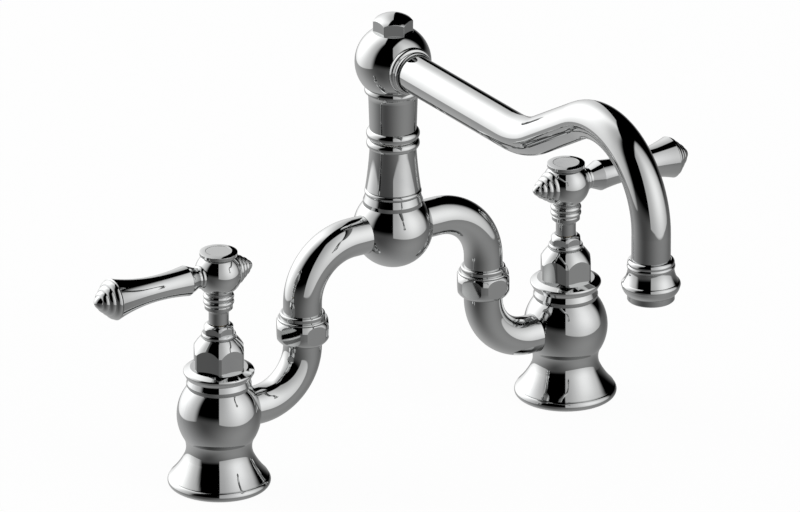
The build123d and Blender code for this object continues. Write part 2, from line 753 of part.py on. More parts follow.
def rear_finial():
    """Small beehive finial screwed into the hub opposite the lever."""
    foot = chord(HANDLE_R, FINIAL_R)
    body = turned(
        (0, STUD_START),
        (FINIAL_STUD_R, STUD_START),
        (FINIAL_STUD_R, foot),
        (FINIAL_R, foot),
        *beehive(foot, FINIAL_TIP, FINIAL_R, FINIAL_TIP_R),
    )
    return along_x(body, -1)


def handle_screw():
    """Screw with a round head that draws the hub down onto the stem."""
    head_top = SCREW_SEAT_Z + SCREW_HEAD_H
    screw = rod(SCREW_R, SCREW_SEAT_Z - SCREW_L, SCREW_SEAT_Z)
    screw += rod(SCREW_HEAD_R, SCREW_SEAT_Z, head_top)
    return screw - hexagon(SCREW_KEY, SCREW_SEAT_Z + SCREW_HEAD_H / 2, head_top)


def index_cap():
    """Screw-in cap with an overhanging, slightly domed rim round a shallow well for the button."""
    well_r = BUTTON_R + THREAD_GAP
    return turned(
        (0, HUB_TOP_Z - CAP_PLUG_H),
        (CAP_PLUG_R, HUB_TOP_Z - CAP_PLUG_H),
        (CAP_PLUG_R, HUB_TOP_Z),
        (CAP_R - EASE / 2, HUB_TOP_Z),
        (CAP_R, HUB_TOP_Z + EASE / 2),
        (CAP_R, CAP_TOP_Z - CAP_FALL),
        (well_r, CAP_TOP_Z, CAP_BOW),
        (well_r, CAP_TOP_Z - BUTTON_T),
        (0, CAP_TOP_Z - BUTTON_T),
    )


def index_button():
    """Plain button in the cap's well."""
    return rod(BUTTON_R, CAP_TOP_Z - BUTTON_T, CAP_TOP_Z - BUTTON_SINK)


# ================================================================ bridge
def quarter(start, end, middle):
    """A quarter bend from start to end in the XZ plane, about its middle."""
    toward = Vector(*start) + Vector(*end) - Vector(*middle) * 2
    radius = (Vector(*start) - Vector(*middle)).length
    return ThreePointArc(start, Vector(*middle) + toward.normalized() * radius, end)


def lower_elbow(side):
    """Tube from the valve body's side port to the threaded foot of the union."""
    bend_x = UNION_X + LOWER_BEND_R
    tube = pipe(
        Line((SPREAD / 2 - PORT_DEPTH, 0, PORT_Z), (bend_x, 0, PORT_Z)),
        quarter((bend_x, 0, PORT_Z), (UNION_X, 0, LOWER_TOP_Z), (bend_x, 0, LOWER_TOP_Z)),
        Line((UNION_X, 0, LOWER_TOP_Z), (UNION_X, 0, UNION_SEAL_Z)),
    )
    thread = ring(UNION_THREAD_R, TUBE_R, UNION_Z + THREAD_GAP, UNION_SEAL_Z)
    return mirrored(side, tube + Pos(UNION_X, 0, 0) * thread)


def upper_elbow(side):
    """Tube from the union, where it has a flange and a collar, to the bridge hub."""
    bend_x, bend_z = UNION_X - UPPER_BEND_R, HUB_Z - UPPER_BEND_R
    tube = pipe(
        Line((UNION_X, 0, UPPER_FOOT_Z), (UNION_X, 0, bend_z)),
        quarter((UNION_X, 0, bend_z), (bend_x, 0, HUB_Z), (bend_x, 0, bend_z)),
        Line((bend_x, 0, HUB_Z), (HUB_SOCKET, 0, HUB_Z)),
    )
    flange = ring(UNION_THREAD_R, TUBE_R, UPPER_FOOT_Z, UPPER_FOOT_Z + UNION_FLANGE_T)
    collar_top = UNION_TOP_Z + UNION_COLLAR_H
    collar = turned(
        (TUBE_R, UNION_TOP_Z),
        (UNION_COLLAR_R, UNION_TOP_Z),
        (UNION_COLLAR_R, collar_top - 2 * EASE),
        (UNION_COLLAR_R - 2 * EASE, collar_top, EASE / 2),
        (TUBE_R, collar_top),
    )
    return mirrored(side, tube + Pos(UNION_X, 0, 0) * (flange + collar))


def union_gasket():
    """Flat seal between the two elbows."""
    return ring(UNION_THREAD_R, TUBE_BORE_R, UNION_SEAL_Z, UPPER_FOOT_Z)


def union_nut():
    """Hexagonal union nut with turned corners, rounded ends and a round rim on top."""
    corner_r = UNION_FLATS / 2 + UNION_CORNER_RISE
    rim_z = UNION_TOP_Z - UNION_RIM_H
    envelope = turned(
        (0, UNION_Z),
        (UNION_FOOT_R, UNION_Z),
        (corner_r, UNION_Z + UNION_SIDE_Z, 2 * UNION_BOW),
        (corner_r, UNION_TOP_Z - UNION_SIDE_TOP),
        (UNION_RIM_R, rim_z, UNION_BOW),
        (0, rim_z),
    )
    rim = turned(
        (0, rim_z),
        (UNION_RIM_R - EASE, rim_z),
        (UNION_RIM_R - EASE, UNION_TOP_Z, EASE),
        (0, UNION_TOP_Z),
    )
    nut = (hexagon(UNION_FLATS, UNION_Z, rim_z) & envelope) + rim
    thread = rod(UNION_THREAD_R + THREAD_GAP, UNION_Z, UPPER_FOOT_Z + UNION_FLANGE_T + FACE_GAP)
    return nut - thread - rod(SOCKET_R, UNION_Z, UNION_TOP_Z)


# ================================================================ hub and column
def bridge_hub():
    """Hollow ball with two side sockets, and a round band with a threaded socket on top."""
    solid = turned(
        (0, HUB_Z - HUB_R),
        ((HUB_R, HUB_Z), (HUB_BAND_R, HUB_Z + chord(HUB_R, HUB_BAND_R))),
        (HUB_BAND_R, BAND_TOP_Z - HUB_NECK_H),
        (HUB_BAND_R - EASE / 2, BAND_TOP_Z - HUB_NECK_H),
        (HUB_NECK_R, BAND_TOP_Z),
        (0, BAND_TOP_Z),
    )
    solid -= Pos(0, 0, HUB_Z) * Sphere(HUB_CAVITY_R)
    solid -= rod(SPIGOT_THREAD_R + THREAD_GAP, BAND_TOP_Z - SPIGOT_THREAD_H, BAND_TOP_Z)
    socket = rod(TUBE_BORE_R, 0, HUB_SOCKET) + rod(SOCKET_R, HUB_SOCKET, HUB_R)
    for side in (-1, 1):
        solid -= Pos(0, 0, HUB_Z) * Rot(0, 90 * side, 0) * socket
    return solid


def column_base():
    """Tapered fixed column round the spigot, with a bead at its foot and one at the seam."""
    bead_top = BAND_TOP_Z + COLUMN_BEAD_H
    seam_bead = SEAM_Z - SEAM_BEAD_H
    bore_r = SPIGOT_R + THREAD_GAP
    return turned(
        (bore_r, BAND_TOP_Z),
        (COLUMN_BEAD_R, BAND_TOP_Z),
        (COLUMN_BEAD_R - EASE, bead_top, COLUMN_BEAD_BOW),
        (COLUMN_FOOT_R, bead_top + EASE),
        (COLUMN_TOP_R, seam_bead, COLUMN_BOW),
        (COLUMN_TOP_R, SEAM_Z, SEAM_BEAD_BOW),
        (bore_r, SEAM_Z),
    )


def swivel_spigot():
    """Hollow post screwed into the hub, on which the spout's column turns."""
    foot = BAND_TOP_Z - SPIGOT_THREAD_H
    top = RETAINER_NUT_Z + RETAINER_NUT_H + EASE
    post = (
        rod(SPIGOT_THREAD_R, foot, BAND_TOP_Z)
        + rod(SPIGOT_R, BAND_TOP_Z, WELL_Z)
        + rod(SPIGOT_TOP_R, WELL_Z, top)
    )
    for height in SWIVEL_RINGS:
        post -= o_ring_groove(SPIGOT_R + RUN_GAP, SWIVEL_RING_D, SEAM_Z + height)
    return post - rod(SPIGOT_BORE_R, foot, top)


def swivel_washer():
    """Plastic slip ring in the seam between the two beads."""
    return ring(SWIVEL_WASHER_R, SPIGOT_R + RUN_GAP, SEAM_Z, SEAM_Z + SWIVEL_WASHER_T)


def retaining_washer():
    """Washer over the swivel's shoulder that keeps the turning column down."""
    return ring(RETAINER_R, SPIGOT_TOP_R + THREAD_GAP, RETAINER_Z, RETAINER_NUT_Z)


def retaining_nut():
    """Nut on the spigot's end, reached by taking the hexagonal cap off."""
    top = RETAINER_NUT_Z + RETAINER_NUT_H
    nut = hexagon(RETAINER_NUT_FLATS, RETAINER_NUT_Z, top)
    return nut - rod(SPIGOT_TOP_R + THREAD_GAP, RETAINER_NUT_Z, top)


# ================================================================ turning column and spout
def spout_column():
    """Turning column with the upper bead, the swivel's bore and a collar under the head."""
    collar = SLEEVE_TOP_Z - SLEEVE_COLLAR_H
    neck_top = SLEEVE_TOP_Z + SLEEVE_NECK_H
    outside = turned(
        (0, SLEEVE_Z),
        (SLEEVE_SEAM_R, SLEEVE_Z),
        (SLEEVE_FOOT_R, SLEEVE_Z + SEAM_BEAD_H, SLEEVE_BEAD_BOW),
        (SLEEVE_R, collar - SLEEVE_FLARE),
        (SLEEVE_COLLAR_R, collar, -EASE),
        (SLEEVE_COLLAR_TOP_R, SLEEVE_TOP_Z, SLEEVE_COLLAR_BOW),
        (SLEEVE_NECK_R, SLEEVE_TOP_Z),
        (SLEEVE_NECK_R, neck_top),
        (0, neck_top),
    )
    return outside - rod(SPIGOT_R + RUN_GAP, SLEEVE_Z, WELL_Z) - rod(SLEEVE_WELL_R, WELL_Z, neck_top)


def spout_head():
    """Hollow ball that joins the turning column to the spout, open under the hexagonal cap."""
    solid = Pos(0, 0, HEAD_Z) * (Sphere(HEAD_R) - Sphere(HEAD_CAVITY_R))
    solid &= rod(HEAD_R, SLEEVE_TOP_Z, CAP_SEAT_Z)
    solid -= rod(SLEEVE_NECK_R + THREAD_GAP, SLEEVE_TOP_Z, HEAD_Z)
    solid -= rod(TOP_PLUG_R + THREAD_GAP, HEAD_Z, CAP_SEAT_Z)
    return solid - forward(rod(SOCKET_R, 0, HEAD_R)) - forward(rod(HEAD_R, COLLAR_SEAT, 2 * HEAD_R))


def hex_cap():
    """Hexagonal cap with a domed top, screwed into the head."""
    dome_z = CAP_SEAT_Z + TOP_SIDE - chord(TOP_DOME_R, corner(TOP_FLATS))
    cap = hexagon(TOP_FLATS, CAP_SEAT_Z, dome_z + TOP_DOME_R, TOP_TURN_DEG)
    cap &= Pos(0, 0, dome_z) * Sphere(TOP_DOME_R)
    foot = CAP_SEAT_Z - TOP_PLUG_H
    cap += rod(TOP_PLUG_R, foot, CAP_SEAT_Z)
    return cap - rod(TOP_PLUG_R - TOP_PLUG_WALL, foot, CAP_SEAT_Z - TOP_ROOF)


def on_circle(centre, radius, degrees):
    """The point of a circle in the spout's plane, as (reach, height), by its angle from the top."""
    angle = radians(degrees)
    return (centre[0] + radius * sin(angle), centre[1] + radius * cos(angle))


def spout_tube():
    """One bent tube: a level arm, a rise, a hump and a drop to the outlet."""
    rise_c = (SPOUT_ARM, HEAD_Z + SPOUT_RISE_R)
    hump_c = (SPOUT_REACH - SPOUT_HUMP_R, HUMP_END_Z)
    route = [
        (SPOUT_START, HEAD_Z),
        (SPOUT_ARM, HEAD_Z),
        on_circle(rise_c, SPOUT_RISE_R, 180 - SPOUT_RISE_DEG / 2),
        on_circle(rise_c, SPOUT_RISE_R, 180 - SPOUT_RISE_DEG),
        on_circle(hump_c, SPOUT_HUMP_R, -SPOUT_RISE_DEG),
        on_circle(hump_c, SPOUT_HUMP_R, 45 - SPOUT_RISE_DEG / 2),
        (SPOUT_REACH, HUMP_END_Z),
        (SPOUT_REACH, HUMP_END_Z - SPOUT_DROP),
    ]
    start, arm, rise_mid, rise, slope, hump_mid, hump, end = [(0, -y, z) for y, z in route]
    return pipe(
        Line(start, arm),
        ThreePointArc(arm, rise_mid, rise),
        Line(rise, slope),
        ThreePointArc(slope, hump_mid, hump),
        Line(hump, end),
    )


def spout_collar():
    """Two beads round the spout where it leaves the head, the outer end hollowed."""
    step = COLLAR_SEAT + SPOUT_COLLAR_T
    end = step + SPOUT_LIP_T
    body = turned(
        (SOCKET_R, COLLAR_SEAT),
        (SPOUT_COLLAR_R, COLLAR_SEAT),
        (SPOUT_COLLAR_R - EASE, step - EASE, SPOUT_COLLAR_BOW),
        (SPOUT_LIP_R - EASE, step),
        (SPOUT_LIP_R - 2 * EASE, end, SPOUT_LIP_BOW),
        (SOCKET_R, end - SPOUT_LIP_DISH),
    )
    return forward(body)


# ================================================================ outlet
def aerator_bell():
    """Bell on the spout's end: two beads, a waisted skirt and a rounded rim."""
    top = BELL_Z + BELL_H
    groove = top - BELL_NECK_DROP
    rim_top = BELL_Z + BELL_WIDE_Z + BELL_RIM_H
    outside = turned(
        (0, BELL_Z),
        (BELL_FOOT_R, BELL_Z),
        (BELL_WIDE_R, BELL_Z + BELL_WIDE_Z, BELL_FOOT_BOW),
        (BELL_RIM_R, rim_top, BELL_RIM_BOW),
        (BELL_NECK_R, groove - BELL_RING_H, BELL_NECK_BOW),
        (BELL_NECK_R, groove, BELL_RING_BOW),
        (BELL_TOP_R, top, BELL_TOP_BOW),
        (0, top),
    )
    thread_top = BELL_Z + OUTLET_THREAD_H + AERATOR_WASHER_T
    inside = (
        rod(OUTLET_THREAD_R + THREAD_GAP, BELL_Z, thread_top)
        + rod(TUBE_BORE_R, BELL_Z, top)
        + rod(SOCKET_R, top - BELL_GRIP, top)
    )
    return at_outlet(outside - inside)


def aerator_sleeve():
    """Outlet ring screwed into the bell; it carries the aerator on a ledge."""
    top = BELL_Z + OUTLET_THREAD_H
    outside = turned(
        (0, OUTLET_Z),
        (OUTLET_R - EASE, OUTLET_Z),
        (OUTLET_R, OUTLET_Z + EASE),
        (OUTLET_R, BELL_Z),
        (OUTLET_THREAD_R, BELL_Z),
        (OUTLET_THREAD_R, top),
        (0, top),
    )
    bore_r = OUTLET_THREAD_R - OUTLET_WALL
    return at_outlet(outside - rod(bore_r - OUTLET_LEDGE, OUTLET_Z, top) - rod(bore_r, top - AERATOR_T, top))


def aerator_insert():
    """Plastic flow straightener: a thick plate with rings of small holes."""
    top = BELL_Z + OUTLET_THREAD_H
    hole = rod(AERATOR_HOLE_R, top - AERATOR_T, top)
    holes = [hole]
    for circle in range(1, AERATOR_RINGS + 1):
        for turn in range(6 * circle):
            place = Rot(0, 0, turn * 60 / circle) * Pos(circle * AERATOR_PITCH, 0, 0)
            holes.append(place * hole)
    plate = rod(OUTLET_THREAD_R - OUTLET_WALL - THREAD_GAP, top - AERATOR_T, top)
    return at_outlet(plate - holes)


def aerator_washer():
    """Rubber ring between the outlet ring and the bell."""
    foot = BELL_Z + OUTLET_THREAD_H
    return at_outlet(ring(OUTLET_THREAD_R, TUBE_BORE_R, foot, foot + AERATOR_WASHER_T))


# ================================================================ the pieces by name
def both(piece):
    """A piece at both valves, as a list of two solids."""
    return [at_valve(side, piece) for side in (-1, 1)]


def both_unions(piece):
    """A piece at both unions, as a list of two solids."""
    return [Pos(side * UNION_X, 0, 0) * piece for side in (-1, 1)]


def pieces():
    """Every piece: its name and its solid, or a list of the separate solids that share a name."""
    found = {
        "deck_gaskets": both(deck_gasket()),
        "mounting_washers": both(mounting_washer()),
        "mounting_nuts": both(mounting_nut()),
        "seat_seals": both(seat_seal()),
        "fixed_discs": both(fixed_disc()),
        "barrel_o_rings": both(barrel_o_ring()),
        "bonnet_collars": both(bonnet_collar()),
        "gland_nuts": both(gland_nut()),
        "gland_packings": both(gland_packing()),
        "union_nuts": both_unions(union_nut()),
        "union_gaskets": both_unions(union_gasket()),
        "bridge_hub": bridge_hub(),
        "column_base": column_base(),
        "swivel_spigot": swivel_spigot(),
        "swivel_o_rings": [
            o_ring(SPIGOT_R + RUN_GAP, SWIVEL_RING_D, SEAM_Z + height) for height in SWIVEL_RINGS
        ],
        "swivel_washer": swivel_washer(),
        "retaining_washer": retaining_washer(),
        "retaining_nut": retaining_nut(),
        "spout_column": spout_column(),
        "spout_head": spout_head(),
        "hex_cap": hex_cap(),
        "spout_tube": spout_tube(),
        "spout_collar": spout_collar(),
        "aerator_bell": aerator_bell(),
        "aerator_sleeve": aerator_sleeve(),
        "aerator_insert": aerator_insert(),
        "aerator_washer": aerator_washer(),
    }
    at_each_valve = {
        "base_flange": base_flange(),
        "shank": shank(),
        "valve_body": valve_body(),
        "cartridge_body": cartridge_body(),
        "bonnet": bonnet(),
        "moving_disc": moving_disc(),
        "stem": stem(),
        "stem_o_ring": stem_o_ring(),
        "handle_hub": handle_hub(),
        "lever": lever(),
        "rear_finial": rear_finial(),
        "handle_screw": handle_screw(),
        "index_cap": index_cap(),
        "index_button": index_button(),
    }
    for name, side in (("left", -1), ("right", 1)):
        for piece, solid in at_each_valve.items():
            found[f"{name}_{piece}"] = at_valve(side, solid)
        found[f"{name}_lower_elbow"] = lower_elbow(side)
        found[f"{name}_upper_elbow"] = upper_elbow(side)
    return found


os.makedirs("parts", exist_ok=True)
for node, shape in pieces().items():
    if isinstance(shape, list):
        shape = Compound(children=[solid for item in shape for solid in item.solids()])
    export_step(shape, f"parts/{node}.step")
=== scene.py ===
import math

import bpy
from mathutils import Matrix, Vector


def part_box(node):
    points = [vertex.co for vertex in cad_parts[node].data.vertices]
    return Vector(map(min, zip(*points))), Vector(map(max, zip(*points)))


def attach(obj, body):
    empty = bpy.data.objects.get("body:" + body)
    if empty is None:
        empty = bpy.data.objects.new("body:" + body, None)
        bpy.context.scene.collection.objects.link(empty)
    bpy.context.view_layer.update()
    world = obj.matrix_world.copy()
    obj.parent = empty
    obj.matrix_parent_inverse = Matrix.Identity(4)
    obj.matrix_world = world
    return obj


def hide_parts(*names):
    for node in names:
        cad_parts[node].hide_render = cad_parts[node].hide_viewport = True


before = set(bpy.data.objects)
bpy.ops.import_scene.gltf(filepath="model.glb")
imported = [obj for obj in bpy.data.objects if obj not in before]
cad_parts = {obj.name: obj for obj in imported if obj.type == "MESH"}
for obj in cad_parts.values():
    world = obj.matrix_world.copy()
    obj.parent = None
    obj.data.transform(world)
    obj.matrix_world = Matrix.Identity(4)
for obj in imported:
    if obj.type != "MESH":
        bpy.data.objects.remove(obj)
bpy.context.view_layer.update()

# Deck gaskets. Two flat rings of moulded black rubber between the flanges and the deck, which
# keep splashed water out of the deck holes. The rubber is dull, a little dusty and finely pitted.


def empty_material(name):
    """A node material with nothing in it yet."""
    material = bpy.data.materials.new(name)
    material.use_nodes = True
    nodes, links = material.node_tree.nodes, material.node_tree.links
    nodes.clear()
    return material, nodes, links


def new_material(name):
    """A node material with a Principled shader on its output."""
    material, nodes, links = empty_material(name)
    shader = nodes.new("ShaderNodeBsdfPrincipled")
    output = nodes.new("ShaderNodeOutputMaterial")
    links.new(shader.outputs["BSDF"], output.inputs["Surface"])
    return material, nodes, links, shader


def new_group(name, takes, gives):
    """An empty shader node group; takes and gives list its sockets as (name, kind, value)."""
    group = bpy.data.node_groups.new(name, "ShaderNodeTree")
    for label, kind, value in takes:
        socket = group.interface.new_socket(
            name=label, in_out="INPUT", socket_type=f"NodeSocket{kind}"
        )
        socket.default_value = value
    for label, kind in gives:
        group.interface.new_socket(name=label, in_out="OUTPUT", socket_type=f"NodeSocket{kind}")
    nodes, links = group.nodes, group.links
    return group, nodes, links, nodes.new("NodeGroupInput"), nodes.new("NodeGroupOutput")


def place_group(nodes, group, **values):
    """Puts a node group in a material with its own values, given as Input_Name=value."""
    node = nodes.new("ShaderNodeGroup")
    node.node_tree = group
    for label, value in values.items():
        node.inputs[label.replace("_", " ")].default_value = value
    return node


def dress(material, *node_names):
    """Gives CAD nodes their finish."""
    for node_name in node_names:
        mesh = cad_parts[node_name].data
        mesh.materials.clear()
        mesh.materials.append(material)


def both(*names):
    """The node names of a piece that each valve has."""
    return [f"{side}_{name}" for name in names for side in ("left", "right")]


def moulded_skin():
    """Fine pits and slow unevenness of a moulded surface, and the dust that settles on it."""
    group, nodes, links, given, out = new_group(
        "moulded_skin",
        [("Pit Scale", "Float", 2600.0), ("Patch Scale", "Float", 90.0), ("Dust", "Float", 0.2)],
        [("Height", "Float"), ("Dust Mask", "Float")],
    )
    place = nodes.new("ShaderNodeTexCoord")
    pits = nodes.new("ShaderNodeTexNoise")
    pits.inputs["Detail"].default_value = 2.0
    patches = nodes.new("ShaderNodeTexNoise")
    patches.inputs["Detail"].default_value = 3.0
    for texture, label in ((pits, "Pit Scale"), (patches, "Patch Scale")):
        links.new(place.outputs["Object"], texture.inputs["Vector"])
        links.new(given.outputs[label], texture.inputs["Scale"])
    spread = nodes.new("ShaderNodeMapRange")
    spread.inputs["From Min"].default_value = 0.4
    spread.inputs["From Max"].default_value = 0.75
    links.new(patches.outputs["Fac"], spread.inputs["Value"])
    dust = nodes.new("ShaderNodeMath")
    dust.operation = "MULTIPLY"
    links.new(spread.outputs["Result"], dust.inputs[0])
    links.new(given.outputs["Dust"], dust.inputs[1])
    links.new(pits.outputs["Fac"], out.inputs["Height"])
    links.new(dust.outputs["Value"], out.inputs["Dust Mask"])
    return group


MOULDED_SKIN = moulded_skin()


def moulded(name, colour, dusty, roughness, pit_depth, pit_scale, dust):
    """A moulded rubber or plastic, paler where dust lies on it."""
    material, nodes, links, shader = new_material(name)
    skin = place_group(nodes, MOULDED_SKIN, Pit_Scale=pit_scale, Dust=dust)
    shade = nodes.new("ShaderNodeMix")
    shade.data_type = "RGBA"
    shade.inputs["A"].default_value = (*colour, 1)
    shade.inputs["B"].default_value = (*dusty, 1)
    links.new(skin.outputs["Dust Mask"], shade.inputs["Factor"])
    links.new(shade.outputs["Result"], shader.inputs["Base Color"])
    sheen = nodes.new("ShaderNodeMapRange")
    sheen.inputs["To Min"].default_value = roughness
    sheen.inputs["To Max"].default_value = min(1.0, roughness + 0.25)
    links.new(skin.outputs["Dust Mask"], sheen.inputs["Value"])
    links.new(sheen.outputs["Result"], shader.inputs["Roughness"])
    bump = nodes.new("ShaderNodeBump")
    bump.inputs["Strength"].default_value = 0.5
    bump.inputs["Distance"].default_value = pit_depth
    links.new(skin.outputs["Height"], bump.inputs["Height"])
    links.new(bump.outputs["Normal"], shader.inputs["Normal"])
    return material


black_rubber = moulded(
    "black_rubber",
    colour=(0.022, 0.022, 0.024),
    dusty=(0.09, 0.088, 0.085),
    roughness=0.55,
    pit_depth=0.00006,
    pit_scale=2600,
    dust=0.5,
)
dress(black_rubber, "deck_gaskets")

# Base flanges. Forged brass bells, turned, buffed and chrome plated, which hide the deck holes
# and carry the valves. The chrome is a near-perfect mirror with the faint unevenness of buffing.


def buffed_skin():
    """What buffing leaves in the plate: slow ripples, hair-fine wheel lines, a trace of haze."""
    group, nodes, links, given, out = new_group(
        "buffed_skin",
        [
            ("Ripple Scale", "Float", 60.0),
            ("Line Scale", "Float", 900.0),
            ("Haze Scale", "Float", 45.0),
            ("Haze", "Float", 0.02),
            ("Gloss", "Float", 0.03),
            ("Line Share", "Float", 0.1),
        ],
        [("Height", "Float"), ("Roughness", "Float"), ("Haze Mask", "Float")],
    )
    place = nodes.new("ShaderNodeTexCoord")
    ripples = nodes.new("ShaderNodeTexNoise")
    ripples.inputs["Detail"].default_value = 1.0
    links.new(place.outputs["Object"], ripples.inputs["Vector"])
    links.new(given.outputs["Ripple Scale"], ripples.inputs["Scale"])
    stretch = nodes.new("ShaderNodeMapping")
    stretch.inputs["Scale"].default_value = (0.15, 0.15, 1.0)
    links.new(place.outputs["Object"], stretch.inputs["Vector"])
    lines = nodes.new("ShaderNodeTexNoise")
    lines.inputs["Detail"].default_value = 3.0
    links.new(stretch.outputs["Vector"], lines.inputs["Vector"])
    links.new(given.outputs["Line Scale"], lines.inputs["Scale"])
    share = nodes.new("ShaderNodeMath")
    share.operation = "MULTIPLY"
    links.new(lines.outputs["Fac"], share.inputs[0])
    links.new(given.outputs["Line Share"], share.inputs[1])
    height = nodes.new("ShaderNodeMath")
    links.new(ripples.outputs["Fac"], height.inputs[0])
    links.new(share.outputs["Value"], height.inputs[1])
    smears = nodes.new("ShaderNodeTexNoise")
    smears.inputs["Detail"].default_value = 4.0
    smears.inputs["Distortion"].default_value = 0.6
    links.new(place.outputs["Object"], smears.inputs["Vector"])
    links.new(given.outputs["Haze Scale"], smears.inputs["Scale"])
    where = nodes.new("ShaderNodeMapRange")
    where.inputs["From Min"].default_value = 0.5
    where.inputs["From Max"].default_value = 0.72
    links.new(smears.outputs["Fac"], where.inputs["Value"])
    haze = nodes.new("ShaderNodeMath")
    haze.operation = "MULTIPLY_ADD"
    links.new(where.outputs["Result"], haze.inputs[0])
    links.new(given.outputs["Haze"], haze.inputs[1])
    links.new(given.outputs["Gloss"], haze.inputs[2])
    links.new(height.outputs["Value"], out.inputs["Height"])
    links.new(haze.outputs["Value"], out.inputs["Roughness"])
    links.new(where.outputs["Result"], out.inputs["Haze Mask"])
    return group


BUFFED_SKIN = buffed_skin()


def chrome(name, gloss=0.03, haze=0.02, ripple=0.000004, edge=0.0, line_share=0.1):
    """Polished chrome plate on brass; edge is the radius to which its corners are buffed."""
    clear, hazed = (0.552, 0.558, 0.556, 1), (0.520, 0.526, 0.530, 1)
    material, nodes, links, shader = new_material(name)
    skin = place_group(nodes, BUFFED_SKIN, Gloss=gloss, Haze=haze, Line_Share=line_share)
    tint = nodes.new("ShaderNodeMix")
    tint.data_type = "RGBA"
    tint.inputs["A"].default_value = clear
    tint.inputs["B"].default_value = hazed
    links.new(skin.outputs["Haze Mask"], tint.inputs["Factor"])
    links.new(tint.outputs["Result"], shader.inputs["Base Color"])
    shader.inputs["Metallic"].default_value = 1.0
    links.new(skin.outputs["Roughness"], shader.inputs["Roughness"])
    bump = nodes.new("ShaderNodeBump")
    bump.inputs["Strength"].default_value = 0.6
    bump.inputs["Distance"].default_value = ripple
    links.new(skin.outputs["Height"], bump.inputs["Height"])
    if edge:
        corner = nodes.new("ShaderNodeBevel")
        corner.samples = 6
        corner.inputs["Radius"].default_value = edge
        links.new(corner.outputs["Normal"], bump.inputs["Normal"])
    links.new(bump.outputs["Normal"], shader.inputs["Normal"])
    return material


flange_chrome = chrome("flange_chrome")
dress(flange_chrome, *both("base_flange"))

# Shanks. Hollow brass stems, half-inch pipe thread above and below a plain stretch, screwed up
# into the valve bodies. They pass the deck, take the clamping nuts and end in the supply thread.
# The deck hides them and their nuts from the mirrors above it, so they are kept out of those.


def machined_skin():
    """Tool lines of turned metal, and the cloudy patches that air or plating leaves on it."""
    group, nodes, links, given, out = new_group(
        "machined_skin",
        [
            ("Line Scale", "Float", 1500.0),
            ("Patch Scale", "Float", 120.0),
            ("Gloss", "Float", 0.22),
            ("Dulling", "Float", 0.2),
        ],
        [("Height", "Float"), ("Roughness", "Float"), ("Tarnish", "Float")],
    )
    place = nodes.new("ShaderNodeTexCoord")
    stretch = nodes.new("ShaderNodeMapping")
    stretch.inputs["Scale"].default_value = (0.08, 0.08, 1.0)
    links.new(place.outputs["Object"], stretch.inputs["Vector"])
    lines = nodes.new("ShaderNodeTexNoise")
    lines.inputs["Detail"].default_value = 3.0
    links.new(stretch.outputs["Vector"], lines.inputs["Vector"])
    links.new(given.outputs["Line Scale"], lines.inputs["Scale"])
    patches = nodes.new("ShaderNodeTexNoise")
    patches.inputs["Detail"].default_value = 5.0
    patches.inputs["Distortion"].default_value = 0.4
    links.new(place.outputs["Object"], patches.inputs["Vector"])
    links.new(given.outputs["Patch Scale"], patches.inputs["Scale"])
    tarnish = nodes.new("ShaderNodeMapRange")
    tarnish.inputs["From Min"].default_value = 0.38
    tarnish.inputs["From Max"].default_value = 0.68
    links.new(patches.outputs["Fac"], tarnish.inputs["Value"])
    dulled = nodes.new("ShaderNodeMath")
    dulled.operation = "MULTIPLY_ADD"
    links.new(tarnish.outputs["Result"], dulled.inputs[0])
    links.new(given.outputs["Dulling"], dulled.inputs[1])
    links.new(given.outputs["Gloss"], dulled.inputs[2])
    links.new(lines.outputs["Fac"], out.inputs["Height"])
    links.new(dulled.outputs["Value"], out.inputs["Roughness"])
    links.new(tarnish.outputs["Result"], out.inputs["Tarnish"])
    return group


MACHINED_SKIN = machined_skin()


def machined(name, bright, dull, gloss, dulling, line_depth, line_scale=1500, patch_scale=120):
    """A bare or thinly plated machined metal, its bright colour clouded by a dull one."""
    material, nodes, links, shader = new_material(name)
    skin = place_group(
        nodes,
        MACHINED_SKIN,
        Gloss=gloss,
        Dulling=dulling,
        Line_Scale=line_scale,
        Patch_Scale=patch_scale,
    )
    tint = nodes.new("ShaderNodeMix")
    tint.data_type = "RGBA"
    tint.inputs["A"].default_value = (*bright, 1)
    tint.inputs["B"].default_value = (*dull, 1)
    links.new(skin.outputs["Tarnish"], tint.inputs["Factor"])
    links.new(tint.outputs["Result"], shader.inputs["Base Color"])
    shader.inputs["Metallic"].default_value = 1.0
    links.new(skin.outputs["Roughness"], shader.inputs["Roughness"])
    bump = nodes.new("ShaderNodeBump")
    bump.inputs["Strength"].default_value = 0.7
    bump.inputs["Distance"].default_value = line_depth
    links.new(skin.outputs["Height"], bump.inputs["Height"])
    links.new(bump.outputs["Normal"], shader.inputs["Normal"])
    return material


def pipe_thread(radius, height, angle, depth, pitch):
    """Radius of a rounded pipe thread at a height and an angle."""
    return radius - depth * (0.5 + 0.5 * math.cos(2 * math.pi * height / pitch - angle))


